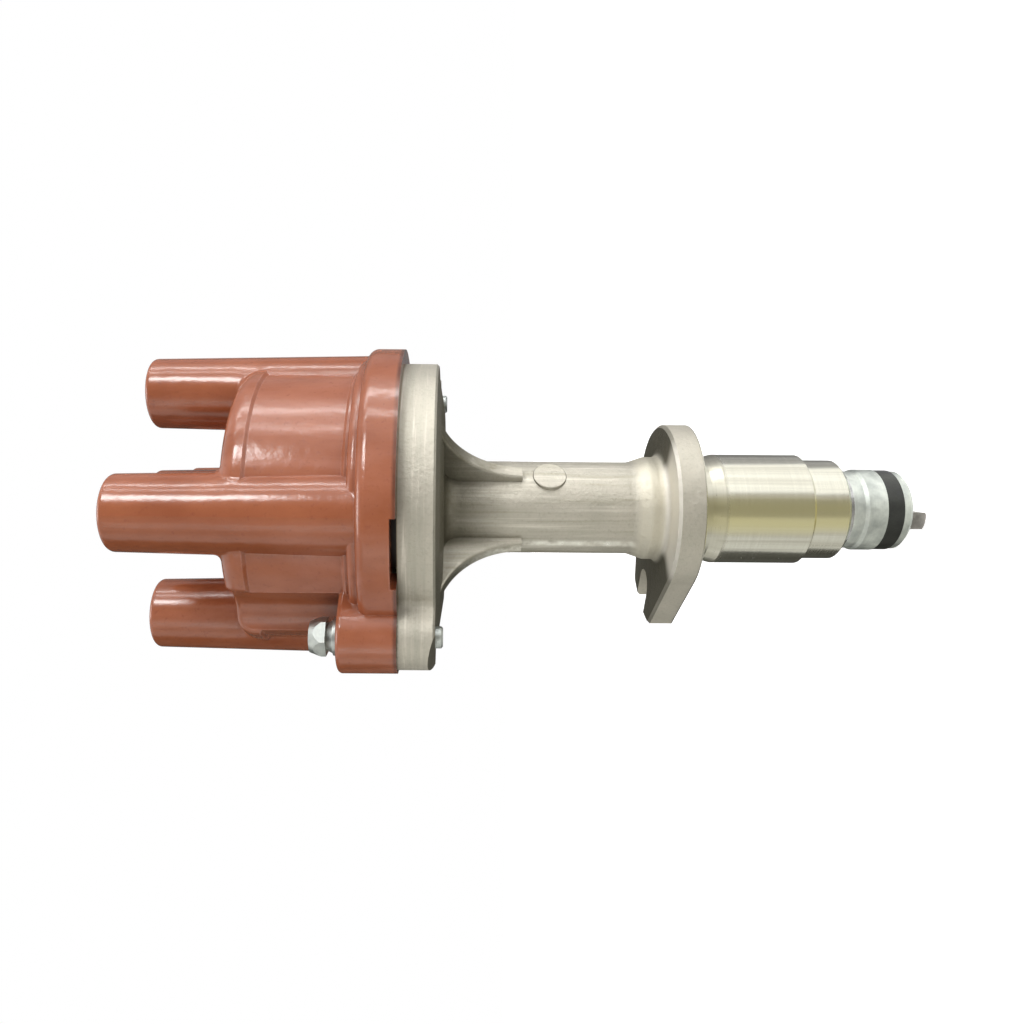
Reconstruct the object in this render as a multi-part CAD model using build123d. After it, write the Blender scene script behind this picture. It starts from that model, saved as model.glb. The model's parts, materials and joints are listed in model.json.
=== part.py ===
from build123d import *
import os
from math import acos, atan2, cos, hypot, radians, sin, sqrt

# Four-cylinder high-tension ignition distributor, in millimetres.
# The shaft axis is Z, the seat face of the clamp flange is z = 0 and the cap is up.
# Angles are polar, in degrees from +X about Z.

# ---------------------------------------------------------------------------
# Fits and clearances
# ---------------------------------------------------------------------------
RUNNING_CLEARANCE = 0.04      # radial, shaft in its bushes and coupling on the shaft
BRUSH_CLEARANCE = 0.06        # radial, carbon brush in its guide
LOCATING_CLEARANCE = 0.1      # register ring, dust shield, screws in the cap ears
END_FLOAT = 0.1               # axial, split between the two thrust washers
BRUSH_GAP = 0.05              # film between the bedded brush and the rotor contact
TIP_GAP = 0.8                 # spark gap, rotor electrode to terminal segment
CIRCLIP_CLEARANCE = 0.05      # circlip in its groove
EDGE_BREAK = 0.4              # chamfer on bushes, shaft and screw ends

# ---------------------------------------------------------------------------
# Housing casting: clamp flange, hub, neck and webs
# ---------------------------------------------------------------------------
FLANGE_RADIUS = 21.5
FLANGE_THICKNESS = 6.5
FLANGE_EDGE = 0.7
LUG_ANGLE = 150.0
LUG_REACH = 33.0
LUG_TIP_WIDTH = 19.5
LUG_CORNER = 2.0
CLAMP_SLOT_WIDTH = 8.4
CLAMP_SLOT_DEPTH = 11.7       # from the lug's tip to the bottom of the slot

NECK_RADIUS = 11.8
NECK_LENGTH = 48.5            # from the flare to the back of the plate
HUB_PROUD = 1.4               # hub over the neck
HUB_LENGTH = 4.1
FLARE_LENGTH = 4.1
HUB_FILLET = 2.0
HUB_ROOT = 2.6                # fillet between the hub and the flange

RIB_ANGLES = (45.0, 135.0, 225.0, 315.0)
RIB_ARC = 20.8
RIB_STEP = 1.7                # how far a rib stands off the neck where it ends
RIB_THICKNESS = 3.6
RIB_EDGE = 0.6

PAD_ANGLE = -45.0
PAD_RADIUS = 4.15
PAD_HEIGHT = 0.35
PAD_EDGE = 0.3
PAD_DROP = 27.7               # below the back of the plate

# ---------------------------------------------------------------------------
# Housing casting: shank
# ---------------------------------------------------------------------------
SHANK_RADIUS = 14.0
SHANK_LAND = 21.4             # length of the ground land that fits the engine block
SHANK_RELIEF_LENGTH = 4.0
SHANK_RELIEF_DEPTH = 0.8
SHANK_TAPER_LENGTH = 3.0
SHANK_TIP_STEP = 1.3
SHANK_TIP_LENGTH = 8.9
SHANK_STEP_LENGTH = 1.0
SHANK_CHAMFER = 0.8

# ---------------------------------------------------------------------------
# Distributor cap
# ---------------------------------------------------------------------------
PANEL_RADIUS = 33.9           # recessed panels between the towers
PANEL_RECESS = 0.7
PANEL_BAND = 1.2              # plain band between a panel and the shoulder
SKIRT_PROUD = 2.6             # moulding between the lip and the panels
SKIRT_RISE = 2.1
SKIRT_FILLET = 1.6
LIP_PROUD = 2.8
LIP_HEIGHT = 8.9
LIP_FILLET = 2.4
CAP_WALL = 3.5
CAP_HEIGHT = 39.9             # base to roof
SHOULDER_RADIUS = 4.5
CHAMBER_FILLET = 3.0
TOWER_ANGLES = (-90.0, 0.0, 90.0, 180.0)
TOWER_INSET = 6.1             # tower axis inside the cap's wall
TOWER_TIP_RADIUS = 8.8
TOWER_DRAFT = 1.2             # degrees
TOWER_HEIGHT = 24.5           # roof to tip
TOWER_EDGE = 1.2
TOWER_FILLET = 1.8
SOCKET_RADIUS = 4.75
SOCKET_DEPTH = 16.0
SOCKET_CHAMFER = 0.8
EAR_ANGLES = (45.0, 225.0)
EAR_PROUD = -0.5              # screw axis outside the cap's lip, here just inside it
CAP_EAR_RADIUS = 8.2
CAP_EAR_HEIGHT = 13.5
CAP_EAR_FILLET = 1.2
POCKET_RADIUS = 10.2          # room for the screw and its driver beside the cap's wall
POCKET_WALL = 2.6             # wall left between a pocket and the rotor chamber
VENT_HEIGHT = 1.3
VENT_ANGLES = (-113.0, -90.0)
GUIDE_BOSS_WALL = 2.8
GUIDE_BOSS_HEIGHT = 4.5

# ---------------------------------------------------------------------------
# Housing casting: plate under the cap
# ---------------------------------------------------------------------------
PLATE_INSET = 3.6             # plate's rim inside the cap's lip
PLATE_THICKNESS = 8.4
PLATE_CHAMFER = 0.5
PLATE_FILLET = 4.0
PLATE_CONE_RISE = 1.5         # shallow cone on the back of the plate
PLATE_CONE_OUTER = 34.0
PLATE_CONE_INNER = 24.0
EAR_RADIUS = 7.4
EAR_SLOPE_REACH = 3.6         # sloping end on the back of each plate ear
EAR_SLOPE_RISE = 1.6
EAR_BLEND = 2.3
REGISTER_PROUD = 2.6          # register ring outside the chamber's wall
REGISTER_WIDTH = 2.0
REGISTER_HEIGHT = 1.4
DISH_LEDGE = 3.0              # seat of the dust shield
DISH_DEPTH = 4.6
DISH_FILLET = 1.5
BOSS_WALL = 2.5               # bearing boss round the upper bush
BOSS_DROP = 1.6               # top of the boss below the plate's face

# ---------------------------------------------------------------------------
# Bearings and shaft
# ---------------------------------------------------------------------------
SHAFT_RADIUS = 6.25
BUSH_WALL = 2.0
UPPER_BUSH_LENGTH = 20.0
LOWER_BUSH_LENGTH = 19.0
BUSH_STAND = 0.6              # the upper bush stands this far above its boss
BUSH_INSET = 0.5              # the lower bush lies this far inside the shank's end
BORE_RELIEF = 0.9             # casting's bore between the bushes, clear of the shaft
SEAL_LENGTH = 5.0
SEAL_LIP = 1.2
WASHER_THICKNESS = 1.2
WASHER_WIDTH = 3.2
SHIM_THICKNESS = 0.5
CIRCLIP_THICKNESS = 1.1
CIRCLIP_DEPTH = 0.6
CIRCLIP_WIDTH = 2.0
CIRCLIP_GAP_ANGLE = 60.0

# ---------------------------------------------------------------------------
# Drive coupling
# ---------------------------------------------------------------------------
COUPLING_RADIUS = 10.4
COUPLING_NECK_STEP = 0.5
COUPLING_NECK_LENGTH = 2.75
COUPLING_SLOPE = 0.8          # from the neck out to the full radius
COUPLING_LAND = 4.6           # from the slope to the band
BAND_WIDTH = 4.3
BAND_THICKNESS = 0.85
BAND_GROOVE_DEPTH = 1.0
BAND_EDGE = 0.3
BAND_GAP_ANGLE = 14.0
BAND_GAP_PLACE = 90.0
COUPLING_END_STEP = 0.4
COUPLING_END_LENGTH = 2.5     # from the band to the end face
COUPLING_CHAMFER = 1.0
COUPLING_END_WALL = 1.8
TANG_THICKNESS = 4.2
TANG_LENGTH = 4.1
TANG_OFFSET = 2.2             # off the axis, towards -X
TANG_EDGE = 0.7
TANG_MARGIN = 0.6             # the tang's ends inside the end face's edge
PIN_RADIUS = 1.5

# ---------------------------------------------------------------------------
# Terminals, brush and spring
# ---------------------------------------------------------------------------
TERMINAL_POST_RADIUS = 2.9
TERMINAL_HEAD_RADIUS = 3.9
TERMINAL_HEAD_LENGTH = 4.0
TERMINAL_RECESS_RADIUS = 1.9
TERMINAL_RECESS_DEPTH = 3.2
SEGMENT_HEIGHT = 8.5
SEGMENT_ARC = 17.0            # degrees of the rotor's circle
SEGMENT_THICKNESS = 2.6
SEGMENT_PROUD = 0.1           # segment's face over its post
GUIDE_WALL = 1.74
GUIDE_END = 1.0               # metal between the spring and the lead's recess
BRUSH_RADIUS = 2.4
BRUSH_LENGTH = 10.0
BRUSH_CHAMFER = 0.5
SPRING_WIRE_RADIUS = 0.28
SPRING_PITCH = 0.98
SPRING_SLACK = 0.3            # coil inside the guide

# ---------------------------------------------------------------------------
# Rotor
# ---------------------------------------------------------------------------
ROTOR_ANGLE = -90.0
ROTOR_SEAT_RISE = 8.4         # rotor's seat above the base of the cap
ROTOR_HEADROOM = 4.1          # rotor's top below the brush guide
ROTOR_HUB_RADIUS = 10.5
ROTOR_SKIRT = 4.0             # skirt below the seat
ROTOR_SKIRT_WALL = 1.9
ROTOR_CROWN = 6.9             # moulding over the shaft's end
SPIGOT_STEP = 1.25            # rotor's spigot inside the shaft's radius
SPIGOT_FLAT_DEPTH = 1.4
ROTOR_PLATE_RADIUS = 12.4
ROTOR_PLATE_THICKNESS = 7.2
ROTOR_ARM_WIDTH = 11.0
ROTOR_LOBE_WIDTH = 15.0
ROTOR_LOBE_REACH = 15.5
ROTOR_CORNER = 2.5
ELECTRODE_WIDTH = 7.0
ELECTRODE_THICKNESS = 1.6
ELECTRODE_LENGTH = 11.7
ELECTRODE_OVERHANG = 4.2      # out of the arm's end
CONTACT_RADIUS = 3.6
CONTACT_STAND = 0.85          # above the rotor's top
RESISTOR_WIDTH = 3.6
RESISTOR_LAP = 1.6            # under the contact and under the electrode

# ---------------------------------------------------------------------------
# Dust shield and screws
# ---------------------------------------------------------------------------
SHIELD_THICKNESS = 1.5
SHIELD_GAP = 1.0              # collar round the rotor's hub
SHIELD_COLLAR_WALL = 1.5
SHIELD_COLLAR_HEIGHT = 4.0
SCREW_RADIUS = 2.5
SCREW_HEAD_FLATS = 8.0
SCREW_HEAD_HEIGHT = 3.8
SCREW_HEAD_TURN = -19.0       # where the hexagon stops when the screw is tight
SCREW_FLANGE_RADIUS = 3.9
SCREW_NECK_RADIUS = 3.1       # narrow end of the conical collar, under the head
SCREW_FLANGE_HEIGHT = 1.6
SCREW_PROJECTION = 1.7        # tip past the back of the plate
SCREW_WASHER_RADIUS = 4.3
SCREW_WASHER_THICKNESS = 1.1

# ---------------------------------------------------------------------------
# Levels and radii worked out from the dimensions above
# ---------------------------------------------------------------------------
hub_radius = NECK_RADIUS + HUB_PROUD
hub_top = FLANGE_THICKNESS + HUB_LENGTH
flare_top = hub_top + FLARE_LENGTH
plate_back = flare_top + NECK_LENGTH
cap_base = plate_back + PLATE_THICKNESS
boss_top = cap_base - BOSS_DROP

shank_relief_radius = SHANK_RADIUS - SHANK_RELIEF_DEPTH
shank_tip_radius = SHANK_RADIUS - SHANK_TIP_STEP
land_top = -SHANK_RELIEF_LENGTH - SHANK_TAPER_LENGTH
land_bottom = land_top - SHANK_LAND
shank_end = land_bottom - SHANK_STEP_LENGTH - SHANK_TIP_LENGTH

band_radius = PANEL_RADIUS + PANEL_RECESS
skirt_radius = band_radius + SKIRT_PROUD
lip_radius = skirt_radius + LIP_PROUD
ear_circle = lip_radius + EAR_PROUD
plate_radius = lip_radius - PLATE_INSET
tower_circle = band_radius - TOWER_INSET
lip_top = cap_base + LIP_HEIGHT
skirt_top = lip_top + SKIRT_RISE
roof = cap_base + CAP_HEIGHT
panel_top = roof - SHOULDER_RADIUS - PANEL_BAND
tower_tip = roof + TOWER_HEIGHT
socket_floor = tower_tip - SOCKET_DEPTH
cap_ear_top = cap_base + CAP_EAR_HEIGHT

chamber_radius = PANEL_RADIUS - CAP_WALL
chamber_roof = roof - CAP_WALL
guide_bottom = chamber_roof - GUIDE_BOSS_HEIGHT
register_outer = chamber_radius + REGISTER_PROUD
register_inner = register_outer - REGISTER_WIDTH
register_top = cap_base + REGISTER_HEIGHT
dish_radius = register_inner - DISH_LEDGE
shield_top = cap_base + SHIELD_THICKNESS
cap_step = max(register_top, shield_top) + LOCATING_CLEARANCE

shaft_bore = SHAFT_RADIUS + RUNNING_CLEARANCE
bush_outer = shaft_bore + BUSH_WALL
boss_radius = bush_outer + BOSS_WALL
relief_bore = shaft_bore + BORE_RELIEF
upper_bush_top = boss_top + BUSH_STAND
upper_bush_bottom = upper_bush_top - UPPER_BUSH_LENGTH
seal_bottom = upper_bush_bottom - SEAL_LENGTH
lower_bush_bottom = shank_end + BUSH_INSET
lower_bush_top = lower_bush_bottom + LOWER_BUSH_LENGTH
upper_washer_bottom = upper_bush_top + END_FLOAT / 2
upper_washer_top = upper_washer_bottom + WASHER_THICKNESS
circlip_top = upper_washer_top + CIRCLIP_THICKNESS
lower_washer_top = shank_end - END_FLOAT / 2
shim_top = lower_washer_top - WASHER_THICKNESS

coupling_top = shim_top - SHIM_THICKNESS
coupling_neck_radius = COUPLING_RADIUS - COUPLING_NECK_STEP
coupling_end_radius = COUPLING_RADIUS - COUPLING_END_STEP
groove_radius = COUPLING_RADIUS - BAND_GROOVE_DEPTH
slope_top = coupling_top - COUPLING_NECK_LENGTH
land_start = slope_top - COUPLING_SLOPE
band_top = land_start - COUPLING_LAND
band_bottom = band_top - BAND_WIDTH
pin_z = (band_top + band_bottom) / 2
coupling_end = band_bottom - COUPLING_END_LENGTH
socket_end = coupling_end + COUPLING_END_WALL
shaft_bottom = socket_end + LOCATING_CLEARANCE

segment_radius = tower_circle - TERMINAL_POST_RADIUS - SEGMENT_PROUD
electrode_tip = segment_radius - TIP_GAP
electrode_start = electrode_tip - ELECTRODE_LENGTH
arm_reach = electrode_tip - ELECTRODE_OVERHANG
rotor_seat = cap_base + ROTOR_SEAT_RISE
rotor_top = guide_bottom - ROTOR_HEADROOM
rotor_plate_bottom = rotor_top - ROTOR_PLATE_THICKNESS
rotor_skirt_bottom = rotor_seat - ROTOR_SKIRT
electrode_bottom = rotor_top - ELECTRODE_THICKNESS
segment_bottom = rotor_top - (ELECTRODE_THICKNESS + SEGMENT_HEIGHT) / 2
spigot_radius = SHAFT_RADIUS - SPIGOT_STEP
flat_reach = spigot_radius - SPIGOT_FLAT_DEPTH
spigot_top = rotor_top - ROTOR_CROWN
contact_top = rotor_top + CONTACT_STAND

guide_bore = BRUSH_RADIUS + BRUSH_CLEARANCE
guide_radius = guide_bore + GUIDE_WALL
brush_bottom = contact_top + BRUSH_GAP
brush_top = brush_bottom + BRUSH_LENGTH
spring_top = socket_floor - TERMINAL_RECESS_DEPTH - GUIDE_END

screw_washer_top = cap_ear_top + SCREW_WASHER_THICKNESS
screw_flange_top = screw_washer_top + SCREW_FLANGE_HEIGHT
screw_head_top = screw_flange_top + SCREW_HEAD_HEIGHT
screw_tip = plate_back - SCREW_PROJECTION


# ---------------------------------------------------------------------------
# Shape helpers
# ---------------------------------------------------------------------------
def at_polar(radius, angle, z=0.0):
    """Location at a polar place, turned so that its X points outwards."""
    place = (radius * cos(radians(angle)), radius * sin(radians(angle)), z)
    return Location(place, (0, 0, angle))


def bar(radius, low, high):
    """Upright round bar on the axis, between two heights."""
    solid = Cylinder(radius, high - low, align=(Align.CENTER, Align.CENTER, Align.MIN))
    return Pos(0, 0, low) * solid


def tube(outer, inner, low, high):
    """Upright tube on the axis, between two heights."""
    return bar(outer, low, high) - bar(inner, low, high)


def turned(outline):
    """Solid of revolution from (radius, height) or (radius, height, fillet) corners."""
    corners = [(corner[0], corner[1]) for corner in outline]
    fillets = [corner[2] if len(corner) == 3 else 0 for corner in outline]
    wire = FilletPolyline(*corners, radius=fillets, close=True)
    return revolve(make_face(Plane.XZ * wire), Axis.Z)


def prism(sketch, low, high):
    """Upright extrusion of a plan sketch between two heights."""
    return extrude(Pos(0, 0, low) * sketch, high - low)


def sector(inner, outer, start, end, low, high):
    """Part of a tube between two angles."""
    middle = (start + end) / 2
    arc_outer = ThreePointArc(*[at_polar(outer, a).position for a in (start, middle, end)])
    arc_inner = ThreePointArc(*[at_polar(inner, a).position for a in (end, middle, start)])
    sides = [Line(arc_outer @ 1, arc_inner @ 0), Line(arc_inner @ 1, arc_outer @ 0)]
    return prism(make_face([arc_outer, arc_inner] + sides), low, high)


def eared_plan():
    """Plan of the plate: a disc with two blended screw ears."""
    plan = Circle(plate_radius)
    for angle in EAR_ANGLES:
        bridge = Pos(ear_circle / 2, 0) * Rectangle(ear_circle, 2 * EAR_RADIUS)
        plan += Rot(0, 0, angle) * (bridge + Pos(ear_circle, 0) * Circle(EAR_RADIUS))
    flank_reach = sqrt(plate_radius**2 - EAR_RADIUS**2)
    junctions = [
        corner for corner in plan.vertices()
        if abs(hypot(corner.X, corner.Y) - plate_radius) < 0.01
    ]
    return fillet(junctions, min(EAR_BLEND, (ear_circle - flank_reach) / 2))


# ---------------------------------------------------------------------------
# Housing side
# ---------------------------------------------------------------------------
def flange_lug():
    """Tapering fork lug with an open slot for the clamp stud, pointing along +X."""
    half_tip = LUG_TIP_WIDTH / 2
    tip_x = sqrt(LUG_REACH**2 - half_tip**2)
    tangent = atan2(half_tip, tip_x) + acos(FLANGE_RADIUS / LUG_REACH)
    root = (FLANGE_RADIUS * cos(tangent), FLANGE_RADIUS * sin(tangent))
    flanks = [
        Line((root[0], -root[1]), (tip_x, -half_tip)),
        ThreePointArc((tip_x, -half_tip), (LUG_REACH, 0), (tip_x, half_tip)),
        Line((tip_x, half_tip), root),
        Line(root, (root[0], -root[1])),
    ]
    plan = make_face(flanks)
    plan = fillet(plan.vertices().sort_by(Axis.X)[-2:], LUG_CORNER)
    slot_bottom = LUG_REACH - CLAMP_SLOT_DEPTH
    slot_centre = slot_bottom + CLAMP_SLOT_WIDTH / 2
    slot = Pos(slot_centre, 0) * Circle(CLAMP_SLOT_WIDTH / 2)
    slot += Pos(slot_centre + LUG_REACH / 2, 0) * Rectangle(LUG_REACH, CLAMP_SLOT_WIDTH)
    return plan, slot


def flange():
    """Clamp flange: round disc and fork lug, with eased edges."""
    lug, slot = flange_lug()
    plan = Circle(FLANGE_RADIUS) + Rot(0, 0, LUG_ANGLE) * lug
    body = prism(plan, 0, FLANGE_THICKNESS)
    body = chamfer(body.edges().group_by(Axis.Z)[-1], FLANGE_EDGE)
    return body - prism(Rot(0, 0, LUG_ANGLE) * slot, -1, FLANGE_THICKNESS + 1)


def web_rib():
    """Web in the XZ plane, from the back of the plate down to the neck in one arc."""
    end_z = plate_back - RIB_ARC
    end_radius = NECK_RADIUS + RIB_STEP
    outer_radius = end_radius + RIB_ARC
    mid_radius = outer_radius - RIB_ARC * cos(radians(45))
    mid_z = end_z + RIB_ARC * sin(radians(45))
    inside = NECK_RADIUS / 2 + bush_outer / 2
    anchor = plate_back + PLATE_THICKNESS / 4
    edges = [
        Line((inside, end_z), (end_radius, end_z)),
        ThreePointArc((end_radius, end_z), (mid_radius, mid_z), (outer_radius, plate_back)),
        Line((outer_radius, plate_back), (outer_radius, anchor)),
        Line((outer_radius, anchor), (inside, anchor)),
        Line((inside, anchor), (inside, end_z)),
    ]
    web = extrude(make_face(Plane.XZ * Curve(edges)), RIB_THICKNESS / 2, both=True)
    arc_edges = web.edges().filter_by(GeomType.CIRCLE)
    return fillet(arc_edges, RIB_EDGE)


def shank():
    """Machined shank below the flange, without its bores."""
    tip_top = shank_end + SHANK_TIP_LENGTH
    return turned([
        (0, shank_end),
        (shank_tip_radius - SHANK_CHAMFER, shank_end),
        (shank_tip_radius, shank_end + SHANK_CHAMFER),
        (shank_tip_radius, tip_top),
        (SHANK_RADIUS, land_bottom),
        (SHANK_RADIUS, land_top),
        (shank_relief_radius, -SHANK_RELIEF_LENGTH),
        (shank_relief_radius, FLANGE_THICKNESS / 2),
        (0, FLANGE_THICKNESS / 2),
    ])


def neck():
    """Cast hub and neck between the flange and the plate, without their bores."""
    root_radius = hub_radius + 2 * HUB_ROOT
    cone_level = plate_back - PLATE_CONE_RISE
    return turned([
        (0, FLANGE_THICKNESS / 2),
        (root_radius, FLANGE_THICKNESS / 2),
        (root_radius, FLANGE_THICKNESS),
        (hub_radius, FLANGE_THICKNESS, min(HUB_ROOT, HUB_LENGTH - HUB_FILLET)),
        (hub_radius, hub_top, HUB_FILLET),
        (NECK_RADIUS, flare_top, HUB_FILLET),
        (NECK_RADIUS, cone_level, PLATE_FILLET),
        (PLATE_CONE_INNER, cone_level),
        (PLATE_CONE_OUTER, plate_back),
        (PLATE_CONE_OUTER, plate_back + PLATE_THICKNESS / 4),
        (0, plate_back + PLATE_THICKNESS / 4),
    ])


def ear_slope():
    """Cone that slopes the outer ends of the plate's ears on their back."""
    ear_end = ear_circle + EAR_RADIUS
    return turned([
        (ear_end - EAR_SLOPE_REACH, plate_back),
        (ear_end, plate_back + EAR_SLOPE_RISE),
        (ear_end + 1, plate_back + EAR_SLOPE_RISE),
        (ear_end + 1, plate_back - 1),
        (ear_end - EAR_SLOPE_REACH, plate_back - 1),
    ])


def register_ring():
    """Raised ring that centres the cap, open where the cap's vent is."""
    ring = tube(register_outer, register_inner, cap_base, register_top)
    return ring - sector(register_inner - 1, register_outer + 1, *VENT_ANGLES,
                         cap_base, register_top)


def housing_casting():
    """One aluminium casting: plate, webs, neck, hub, clamp flange and shank."""
    plate = prism(eared_plan(), plate_back, cap_base)
    plate = chamfer(plate.edges().group_by(Axis.Z)[0], PLATE_CHAMFER)
    plate -= ear_slope()
    body = plate + neck() + shank() + flange() + register_ring()
    for angle in RIB_ANGLES:
        body += Rot(0, 0, angle) * web_rib()
    pad = bar(PAD_RADIUS, 0, NECK_RADIUS + PAD_HEIGHT)
    pad = fillet(pad.edges().group_by(Axis.Z)[-1], PAD_EDGE)
    body += Pos(0, 0, plate_back - PAD_DROP) * Rot(0, 0, PAD_ANGLE) * Rot(0, 90, 0) * pad

    dish_floor = cap_base - DISH_DEPTH
    body -= turned([
        (boss_radius, dish_floor, DISH_FILLET),
        (dish_radius, dish_floor, DISH_FILLET),
        (dish_radius, register_top + 1),
        (0, register_top + 1),
        (0, boss_top),
        (boss_radius, boss_top),
    ])
    body -= bar(relief_bore, shank_end - 1, cap_base)
    body -= bar(bush_outer, seal_bottom, cap_base)
    body -= bar(bush_outer, shank_end - 1, lower_bush_top)
    for angle in EAR_ANGLES:
        body -= at_polar(ear_circle, angle) * bar(SCREW_RADIUS, plate_back - 1, cap_base + 1)
    return body


def bush(low, high):
    """Plain sintered bush with chamfered ends."""
    return turned([
        (shaft_bore + EDGE_BREAK, low),
        (bush_outer - EDGE_BREAK, low),
        (bush_outer, low + EDGE_BREAK),
        (bush_outer, high - EDGE_BREAK),
        (bush_outer - EDGE_BREAK, high),
        (shaft_bore + EDGE_BREAK, high),
        (shaft_bore, high - EDGE_BREAK),
        (shaft_bore, low + EDGE_BREAK),
    ])


def shaft_seal():
    """Lip seal under the upper bush, with its lip pointing down."""
    lip_outer = shaft_bore + SEAL_LIP / 2
    web_bottom = upper_bush_bottom - SEAL_LENGTH / 3
    return turned([
        (shaft_bore + SEAL_LIP, upper_bush_bottom),
        (bush_outer, upper_bush_bottom),
        (bush_outer, seal_bottom),
        (bush_outer - BUSH_WALL / 3, seal_bottom),
        (bush_outer - BUSH_WALL / 3, web_bottom),
        (lip_outer, web_bottom),
        (lip_outer, seal_bottom + EDGE_BREAK),
        (shaft_bore, seal_bottom + EDGE_BREAK),
        (shaft_bore, web_bottom),
    ])


def dust_shield():
    """Moulded disc that closes the rotor chamber off from the bearing."""
    collar_bore = ROTOR_HUB_RADIUS + SHIELD_GAP
    collar_outer = collar_bore + SHIELD_COLLAR_WALL
    collar_top = shield_top + SHIELD_COLLAR_HEIGHT
    return turned([
        (collar_bore, cap_base),
        (register_inner - LOCATING_CLEARANCE, cap_base),
        (register_inner - LOCATING_CLEARANCE, shield_top),
        (collar_outer, shield_top, SHIELD_COLLAR_WALL / 2),
        (collar_outer, collar_top),
        (collar_bore, collar_top),
    ])


def cap_screw():
    """Hex-head screw with a conical collar, at its place over the first ear."""
    across_corners = SCREW_HEAD_FLATS / cos(radians(30))
    stem = turned([
        (0, screw_tip),
        (SCREW_RADIUS - EDGE_BREAK, screw_tip),
        (SCREW_RADIUS, screw_tip + EDGE_BREAK),
        (SCREW_RADIUS, screw_washer_top),
        (SCREW_FLANGE_RADIUS, screw_washer_top),
        (SCREW_NECK_RADIUS, screw_flange_top),
        (0, screw_flange_top),
    ])
    plan = Rot(0, 0, SCREW_HEAD_TURN) * RegularPolygon(across_corners / 2, 6)
    hexagon = prism(plan, screw_flange_top, screw_head_top)
    crown = turned([
        (0, screw_flange_top),
        (across_corners / 2 + EDGE_BREAK, screw_flange_top),
        (SCREW_HEAD_FLATS / 2 - EDGE_BREAK, screw_head_top),
        (0, screw_head_top),
    ])
    return stem + (hexagon & crown)


def around(angles, radius, solid):
    """Copies of a solid made on the axis, moved out to several polar places."""
    return [at_polar(radius, angle) * solid for angle in angles]


# ---------------------------------------------------------------------------
# Cap, terminals, brush and spring
# ---------------------------------------------------------------------------
def cap_wall():
    """Turned body of the cap: lip, skirt moulding, recessed panel belt and rounded shoulder."""
    return turned([
        (0, cap_base),
        (lip_radius, cap_base),
        (lip_radius, lip_top, LIP_FILLET),
        (skirt_radius, lip_top),
        (skirt_radius, skirt_top, SKIRT_FILLET),
        (band_radius, skirt_top),
        (band_radius, skirt_top + PANEL_RECESS),
        (PANEL_RADIUS, skirt_top + 2 * PANEL_RECESS),
        (PANEL_RADIUS, panel_top - PANEL_RECESS),
        (band_radius, panel_top),
        (band_radius, roof, SHOULDER_RADIUS),
        (0, roof),
    ])


def tower(base_z):
    """Drafted tower with a rounded tip, from a base height up to the tip."""
    base_radius = TOWER_TIP_RADIUS + (tower_tip - base_z) * sin(radians(TOWER_DRAFT))
    return turned([
        (0, base_z),
        (base_radius, base_z),
        (TOWER_TIP_RADIUS, tower_tip, TOWER_EDGE),
        (0, tower_tip),
    ])


def lead_socket():
    """Hollow of a tower, with a chamfered mouth."""
    return turned([
        (0, socket_floor),
        (SOCKET_RADIUS, socket_floor),
        (SOCKET_RADIUS, tower_tip - SOCKET_CHAMFER),
        (SOCKET_RADIUS + 2 * SOCKET_CHAMFER, tower_tip + SOCKET_CHAMFER),
        (0, tower_tip + SOCKET_CHAMFER),
    ])


def chamber():
    """Rotor chamber under the roof, with the counterbore that fits the register ring."""
    hollow = turned([
        (0, cap_base - 1),
        (register_outer + LOCATING_CLEARANCE, cap_base - 1),
        (register_outer + LOCATING_CLEARANCE, cap_step),
        (chamber_radius, cap_step),
        (chamber_radius, chamber_roof, CHAMBER_FILLET),
        (0, chamber_roof),
    ])
    for angle in EAR_ANGLES:
        bulge = bar(POCKET_RADIUS + POCKET_WALL, cap_ear_top - POCKET_WALL, chamber_roof)
        hollow -= at_polar(ear_circle, angle) * bulge
    return hollow - bar(guide_radius + GUIDE_BOSS_WALL, guide_bottom, chamber_roof)


def cap_body():
    """Outside of the cap: wall, ears and five towers in one moulding."""
    body = cap_wall()
    for angle in EAR_ANGLES:
        body += Rot(0, 0, angle) * cap_ear()
        body -= at_polar(ear_circle, angle) * bar(POCKET_RADIUS, cap_ear_top, roof + 1)
    for angle in TOWER_ANGLES:
        body += at_polar(tower_circle, angle) * tower(cap_base + LIP_HEIGHT / 2)
    body += tower(chamber_roof)
    tower_roots = [
        edge for edge in body.edges().filter_by(GeomType.CIRCLE)
        if abs(edge.center(CenterOf.BOUNDING_BOX).Z - roof) < 0.01
        and edge.radius < tower_circle / 2
    ]
    return fillet(tower_roots, TOWER_FILLET)


def cap_ear():
    """Screw boss of the cap, pointing along +X."""
    root = chamber_radius + CAP_WALL / 2
    reach = ear_circle - root
    plan = Pos(ear_circle, 0) * Circle(CAP_EAR_RADIUS)
    plan += Pos(root + reach / 2, 0) * Rectangle(reach, 2 * CAP_EAR_RADIUS)
    boss = prism(plan, cap_base, cap_ear_top)
    return fillet(boss.edges().group_by(Axis.Z)[-1], CAP_EAR_FILLET)


def distributor_cap():
    """The whole cap, hollowed out and cut for its moulded-in inserts."""
    cap = cap_body() - chamber() - lead_socket() - centre_insert()
    for angle in TOWER_ANGLES:
        cap -= at_polar(tower_circle, angle) * lead_socket()
        cap -= outer_insert(angle)
    for angle in EAR_ANGLES:
        hole = bar(SCREW_RADIUS + LOCATING_CLEARANCE, cap_base - 1, cap_ear_top + 1)
        cap -= at_polar(ear_circle, angle) * hole
    return cap - sector(chamber_radius - 1, lip_radius + 1, *VENT_ANGLES,
                        cap_base - 1, cap_base + VENT_HEIGHT)


def insert_head():
    """Head of an insert, moulded in flush with the socket's floor."""
    return bar(TERMINAL_HEAD_RADIUS, socket_floor - TERMINAL_HEAD_LENGTH, socket_floor)


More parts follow.
